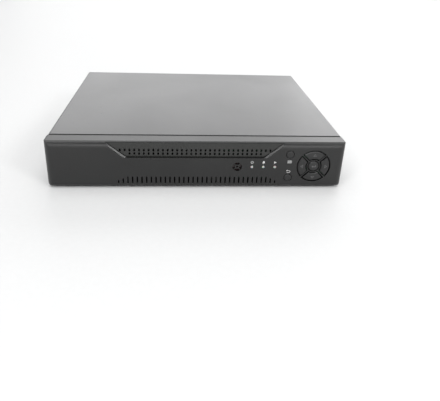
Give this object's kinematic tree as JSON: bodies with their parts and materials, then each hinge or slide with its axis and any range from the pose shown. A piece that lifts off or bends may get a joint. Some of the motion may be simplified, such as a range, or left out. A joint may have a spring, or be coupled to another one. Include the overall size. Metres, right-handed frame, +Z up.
{
  "type": "video recorder",
  "caption": "Flat steel-cased surveillance video recorder with a vented front, round direction pad and two rows of coaxial sockets at the rear.",
  "frame": {"origin": "under the middle of the overall box, on the plane that the rubber feet stand on", "axes": "+X to the right seen from the front, +Y towards the rear panel, +Z up"},
  "size_m": [0.2588, 0.22, 0.0445],
  "materials": {
    "case_steel": "black satin powder coat over sheet steel",
    "panel_steel": "zinc-plated sheet steel",
    "label_film": "matt printed film, pale silver-blue",
    "front_plastic": "fine-textured charcoal moulding",
    "grille_plastic": "near-black moulding",
    "button_plastic": "charcoal button caps",
    "light_pipe": "milky clear light pipes",
    "ir_plastic": "dark red infrared window",
    "board_green": "green solder mask",
    "black_plastic": "black moulded nylon",
    "chip_epoxy": "black moulded epoxy",
    "led_lens": "clear surface-mount light-emitting diodes",
    "sink_alloy": "extruded, clear anodised",
    "ferrite": "grey ferrite",
    "capacitor_sleeve": "dark shrink sleeves",
    "cell_steel": "stamped stainless steel",
    "header_nylon": "natural nylon",
    "nickel": "bright nickel plate",
    "shield_tin": "tinned, slightly warm shield",
    "white_plastic": "white insulating plastic",
    "red_plastic": "red insulating plastic",
    "contact_gold": "gold-plated contacts",
    "vga_blue": "blue moulding",
    "terminal_green": "green moulding",
    "foot_rubber": "black rubber",
    "screw_black": "black oxide steel",
    "screw_zinc": "zinc plated",
    "brass_plated": "plated brass",
    "drive_alloy": "die-cast, as cast",
    "drive_steel": "bright stamped steel",
    "platter_mirror": "polished disk",
    "lead_red": "red flat lead",
    "lead_black": "black lead",
    "ribbon_grey": "grey ribbon"
  },
  "bodies": {
    "case": {"chassis_tray": "case_steel", "rear_panel": "panel_steel", "rear_label": "label_film", "front_bezel": "front_plastic", "grille_insert": "grille_plastic", "status_light_pipes": "light_pipe", "ir_window": "ir_plastic", "key_board": "board_green", "tact_switches": "black_plastic", "key_board_leds": "led_lens", "ir_receiver": "black_plastic", "main_board": "board_green", "heat_sink": "sink_alloy", "board_chips": "chip_epoxy", "power_inductors": "ferrite", "capacitors": "capacitor_sleeve", "coin_cell": "cell_steel", "coin_cell_holder": "black_plastic", "buzzer": "black_plastic", "board_headers": "header_nylon", "bnc_housings": "black_plastic", "bnc_shells": "nickel", "bnc_insulators": "white_plastic", "bnc_contacts": "contact_gold", "rca_housings": "black_plastic", "rca_shells": "nickel", "rca_insulators_white": "white_plastic", "rca_insulator_red": "red_plastic", "hdmi_shell": "nickel", "hdmi_tongue": "black_plastic", "lan_usb_shell": "shield_tin", "lan_usb_insert": "black_plastic", "vga_shell": "nickel", "vga_insert": "vga_blue", "vga_jackscrews": "nickel", "terminal_block": "terminal_green", "dc_jack": "black_plastic", "dc_jack_pin": "nickel", "rubber_feet": "foot_rubber", "case_screws": "screw_black", "board_screws": "screw_zinc", "board_standoffs": "brass_plated", "fan_frame": "black_plastic", "drive_casting": "drive_alloy", "drive_lid": "drive_steel", "drive_board": "board_green", "drive_data_cable": "lead_red", "drive_power_cable": "lead_black", "panel_ribbon": "ribbon_grey"},
    "cover": {"top_cover": "case_steel"},
    "fan_wheel": {"fan_rotor": "black_plastic"},
    "disk": {"drive_platter": "platter_mirror"},
    "head_arm": {"drive_arm": "drive_alloy"},
    "menu_key": {"menu_button": "button_plastic"},
    "esc_key": {"esc_button": "button_plastic"},
    "up_key": {"up_button": "button_plastic"},
    "down_key": {"down_button": "button_plastic"},
    "left_key": {"left_button": "button_plastic"},
    "right_key": {"right_button": "button_plastic"},
    "enter_key": {"enter_button": "button_plastic"}
  },
  "joints": [
    {"name": "cover_lift", "type": "slide", "parent": "case", "child": "cover", "axis": [0, 0, 1], "range_m": [0, 0.06]},
    {"name": "menu_press", "type": "slide", "parent": "case", "child": "menu_key", "axis": [0, 1, 0], "range_m": [0, 0.0005], "stiffness_N_per_m": 1500, "springref_m": -0.0003},
    {"name": "esc_press", "type": "slide", "parent": "case", "child": "esc_key", "axis": [0, 1, 0], "range_m": [0, 0.0005], "stiffness_N_per_m": 1500, "springref_m": -0.0003},
    {"name": "up_press", "type": "slide", "parent": "case", "child": "up_key", "axis": [0, 1, 0], "range_m": [0, 0.0005], "stiffness_N_per_m": 1500, "springref_m": -0.0003},
    {"name": "down_press", "type": "slide", "parent": "case", "child": "down_key", "axis": [0, 1, 0], "range_m": [0, 0.0005], "stiffness_N_per_m": 1500, "springref_m": -0.0003},
    {"name": "left_press", "type": "slide", "parent": "case", "child": "left_key", "axis": [0, 1, 0], "range_m": [0, 0.0005], "stiffness_N_per_m": 1500, "springref_m": -0.0003},
    {"name": "right_press", "type": "slide", "parent": "case", "child": "right_key", "axis": [0, 1, 0], "range_m": [0, 0.0005], "stiffness_N_per_m": 1500, "springref_m": -0.0003},
    {"name": "enter_press", "type": "slide", "parent": "case", "child": "enter_key", "axis": [0, 1, 0], "range_m": [0, 0.0005], "stiffness_N_per_m": 1500, "springref_m": -0.0003},
    {"name": "fan_spin", "type": "hinge", "parent": "case", "child": "fan_wheel", "pos_m": [0.1201, -0.0415, 0.0205], "axis": [1, 0, 0], "continuous": true},
    {"name": "disk_spin", "type": "hinge", "parent": "case", "child": "disk", "pos_m": [-0.069, -0.0428, 0.0215], "axis": [0, 0, 1], "continuous": true},
    {"name": "head_swing", "type": "hinge", "parent": "case", "child": "head_arm", "pos_m": [-0.021, -0.0718, 0.0215], "axis": [0, 0, 1], "range_deg": [0, 26]}
  ]
}
